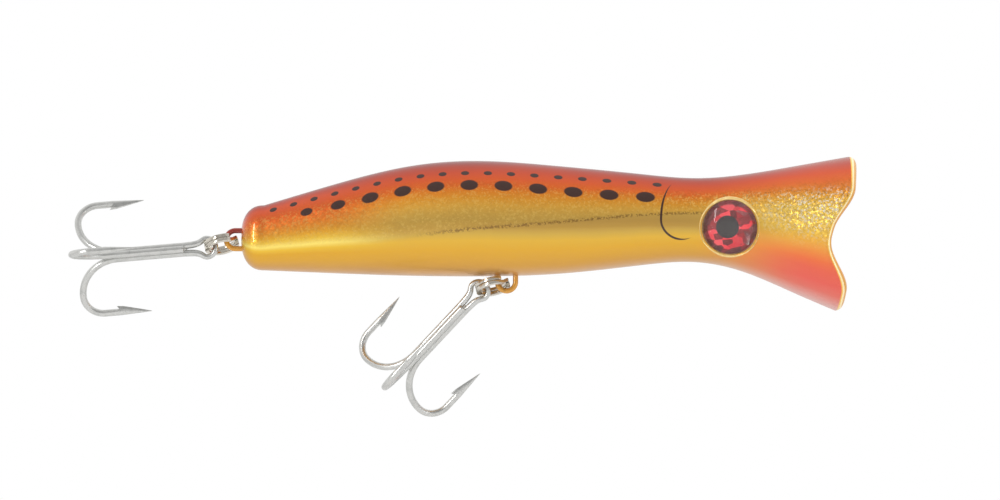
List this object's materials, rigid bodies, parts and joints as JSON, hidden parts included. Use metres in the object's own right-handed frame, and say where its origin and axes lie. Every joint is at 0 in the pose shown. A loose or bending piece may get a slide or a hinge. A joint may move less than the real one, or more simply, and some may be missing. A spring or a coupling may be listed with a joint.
{
  "type": "topwater popper fishing lure",
  "caption": "Hollow floating fishing lure with a cupped mouth, slim waist and humped body, built on a through wire that carries treble hooks on split rings.",
  "frame": {"origin": "centre of the tow eye inside the cupped mouth, where the line pulls", "axes": "+X forward out of the mouth, +Y towards the left flank, +Z towards the back of the lure"},
  "size_m": [0.2041, 0.0321, 0.0669],
  "materials": {
    "gold_paint": "glossy pearl paint over moulded plastic",
    "wire_steel": "stainless wire, painted outside the body",
    "lead": "cast lead, dull",
    "tinned_steel": "bright tin plating",
    "red_foil": "red holographic foil",
    "clear_resin": "clear domed resin"
  },
  "bodies": {
    "body": {"body_shell_left": "gold_paint", "body_shell_right": "gold_paint", "through_wire": "wire_steel", "tail_ballast": "lead", "belly_ballast": "lead", "eye_foil_left": "red_foil", "eye_foil_right": "red_foil", "eye_lens_left": "clear_resin", "eye_lens_right": "clear_resin"},
    "left_rattle": {"rattle_ball_left": "tinned_steel"},
    "right_rattle": {"rattle_ball_right": "tinned_steel"},
    "tail_ring": {"tail_split_ring": "tinned_steel"},
    "tail_treble": {"tail_double_hook": "tinned_steel", "tail_third_hook": "tinned_steel"},
    "belly_ring": {"belly_split_ring": "tinned_steel"},
    "belly_treble": {"belly_double_hook": "tinned_steel", "belly_third_hook": "tinned_steel"}
  },
  "joints": [
    {"name": "tail_ring_swing", "type": "hinge", "parent": "body", "child": "tail_ring", "pos_m": [-0.1502, 0, -0.0015], "axis": [0, 1, 0], "range_deg": [-30, 60]},
    {"name": "tail_hook_turn", "type": "hinge", "parent": "tail_ring", "child": "tail_treble", "pos_m": [-0.1541, 0, -0.0024], "axis": [-0.2139, 0.309, 0.9267], "range_deg": [-70, 70]},
    {"name": "belly_ring_swing", "type": "hinge", "parent": "body", "child": "belly_ring", "pos_m": [-0.0796, 0, -0.01253], "axis": [0, 1, 0], "range_deg": [-50, 0]},
    {"name": "belly_hook_turn", "type": "hinge", "parent": "belly_ring", "child": "belly_treble", "pos_m": [-0.08351, 0, -0.01336], "axis": [-0.1999, 0.2756, 0.9403], "range_deg": [-60, 35]},
    {"name": "left_rattle_roll", "type": "slide", "parent": "body", "child": "left_rattle", "axis": [1, 0, 0], "range_m": [-0.0043, 0.0043]},
    {"name": "right_rattle_roll", "type": "slide", "parent": "body", "child": "right_rattle", "axis": [1, 0, 0], "range_m": [-0.0043, 0.0043]}
  ]
}
